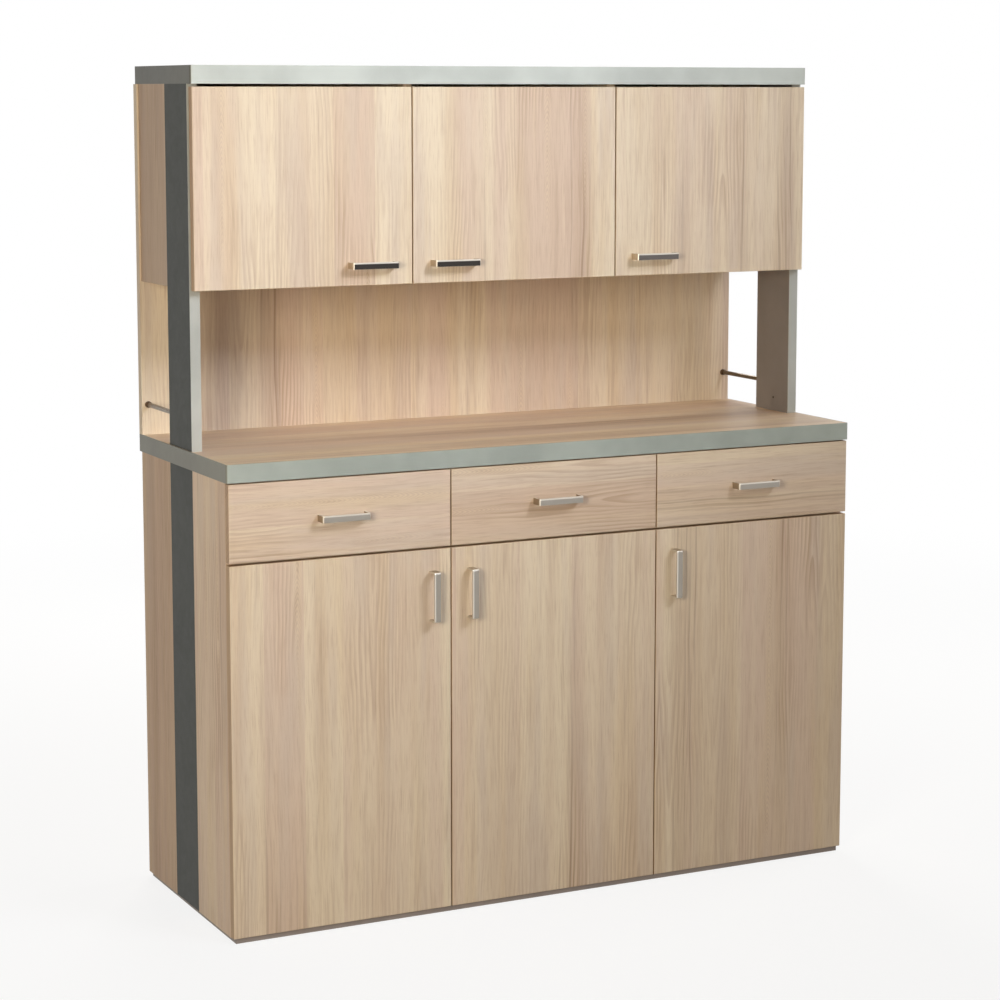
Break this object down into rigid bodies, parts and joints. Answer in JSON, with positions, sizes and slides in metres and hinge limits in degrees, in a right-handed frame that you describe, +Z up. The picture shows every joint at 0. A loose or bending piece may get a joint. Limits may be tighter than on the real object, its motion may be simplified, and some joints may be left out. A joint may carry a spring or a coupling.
{
  "type": "waiter service station",
  "caption": "Waiter service station: base cabinet with drawers over doors, a banded worktop, and a wall-type cabinet on two side posts above an open serving niche.",
  "frame": {"origin": "on the floor under the middle of the bounding box", "axes": "+X to the right seen from the front, -Y towards the user (doors and drawers), +Z up"},
  "size_m": [1.5, 0.568, 1.8],
  "materials": {
    "door_wood": "light ash decor, satin, grain upright",
    "drawer_wood": "light ash decor, satin, grain along the width",
    "side_wood": "light ash decor, satin, grain upright",
    "worktop_wood": "light ash decor, satin, grain along the length",
    "carcass_wood": "light ash decor, matt",
    "edge_band": "satin grey edge band",
    "post_trim": "satin edge band",
    "grey_laminate": "dark metallic grey laminate, satin",
    "cheek_laminate": "warm grey laminate, satin",
    "plinth_laminate": "dark grey, matt",
    "handle_steel": "satin nickel",
    "rod_steel": "satin",
    "hinge_steel": "nickel plated",
    "runner_steel": "white epoxy coat",
    "pin_steel": "nickel plated"
  },
  "bodies": {
    "root": {"base_back": "carcass_wood", "base_bottom": "carcass_wood", "base_divider_left": "carcass_wood", "base_divider_right": "carcass_wood", "base_hinge_arms": "hinge_steel", "base_shelves": "carcass_wood", "base_side_left": "side_wood", "base_side_right": "side_wood", "drawer_rails": "carcass_wood", "gallery_rods": "rod_steel", "plinth_board": "plinth_laminate", "post_cheeks": "cheek_laminate", "post_edge_bands": "post_trim", "post_left": "grey_laminate", "post_right": "grey_laminate", "runner_channels": "runner_steel", "shelf_pins": "pin_steel", "side_inlays": "grey_laminate", "top_board": "worktop_wood", "top_board_edging": "edge_band", "top_rails": "carcass_wood", "upper_back": "side_wood", "upper_bottom": "carcass_wood", "upper_dividers": "carcass_wood", "upper_hinge_arms": "hinge_steel", "upper_shelves": "carcass_wood", "upper_side_left": "side_wood", "upper_side_right": "side_wood", "worktop": "worktop_wood", "worktop_edging": "edge_band"},
    "base_door_left": {"base_door_left_handle": "handle_steel", "base_door_left_hinge_cups": "hinge_steel", "base_door_left_panel": "door_wood"},
    "base_door_middle": {"base_door_middle_handle": "handle_steel", "base_door_middle_hinge_cups": "hinge_steel", "base_door_middle_panel": "door_wood"},
    "base_door_right": {"base_door_right_handle": "handle_steel", "base_door_right_hinge_cups": "hinge_steel", "base_door_right_panel": "door_wood"},
    "upper_door_left": {"upper_door_left_handle": "handle_steel", "upper_door_left_hinge_cups": "hinge_steel", "upper_door_left_panel": "door_wood"},
    "upper_door_middle": {"upper_door_middle_handle": "handle_steel", "upper_door_middle_hinge_cups": "hinge_steel", "upper_door_middle_panel": "door_wood"},
    "upper_door_right": {"upper_door_right_handle": "handle_steel", "upper_door_right_hinge_cups": "hinge_steel", "upper_door_right_panel": "door_wood"},
    "drawer_left": {"drawer_left_box": "carcass_wood", "drawer_left_front": "drawer_wood", "drawer_left_handle": "handle_steel", "drawer_left_runners": "runner_steel"},
    "drawer_middle": {"drawer_middle_box": "carcass_wood", "drawer_middle_front": "drawer_wood", "drawer_middle_handle": "handle_steel", "drawer_middle_runners": "runner_steel"},
    "drawer_right": {"drawer_right_box": "carcass_wood", "drawer_right_front": "drawer_wood", "drawer_right_handle": "handle_steel", "drawer_right_runners": "runner_steel"}
  },
  "joints": [
    {"name": "base_door_left_hinge", "type": "hinge", "parent": "root", "child": "base_door_left", "pos_m": [-0.742, -0.253, 0.402], "axis": [0, 0, -1], "range_deg": [0, 95]},
    {"name": "base_door_middle_hinge", "type": "hinge", "parent": "root", "child": "base_door_middle", "pos_m": [0.24367, -0.253, 0.402], "axis": [0, 0, 1], "range_deg": [0, 95]},
    {"name": "base_door_right_hinge", "type": "hinge", "parent": "root", "child": "base_door_right", "pos_m": [0.742, -0.253, 0.402], "axis": [0, 0, 1], "range_deg": [0, 95]},
    {"name": "upper_door_left_hinge", "type": "hinge", "parent": "root", "child": "upper_door_left", "pos_m": [-0.739, -0.063, 1.5465], "axis": [0, 0, -1], "range_deg": [0, 95]},
    {"name": "upper_door_middle_hinge", "type": "hinge", "parent": "root", "child": "upper_door_middle", "pos_m": [0.24267, -0.063, 1.5465], "axis": [0, 0, 1], "range_deg": [0, 95]},
    {"name": "upper_door_right_hinge", "type": "hinge", "parent": "root", "child": "upper_door_right", "pos_m": [0.739, -0.063, 1.5465], "axis": [0, 0, 1], "range_deg": [0, 95]},
    {"name": "drawer_left_slide", "type": "slide", "parent": "root", "child": "drawer_left", "axis": [0, -1, 0], "range_m": [0, 0.34]},
    {"name": "drawer_middle_slide", "type": "slide", "parent": "root", "child": "drawer_middle", "axis": [0, -1, 0], "range_m": [0, 0.34]},
    {"name": "drawer_right_slide", "type": "slide", "parent": "root", "child": "drawer_right", "axis": [0, -1, 0], "range_m": [0, 0.34]}
  ]
}
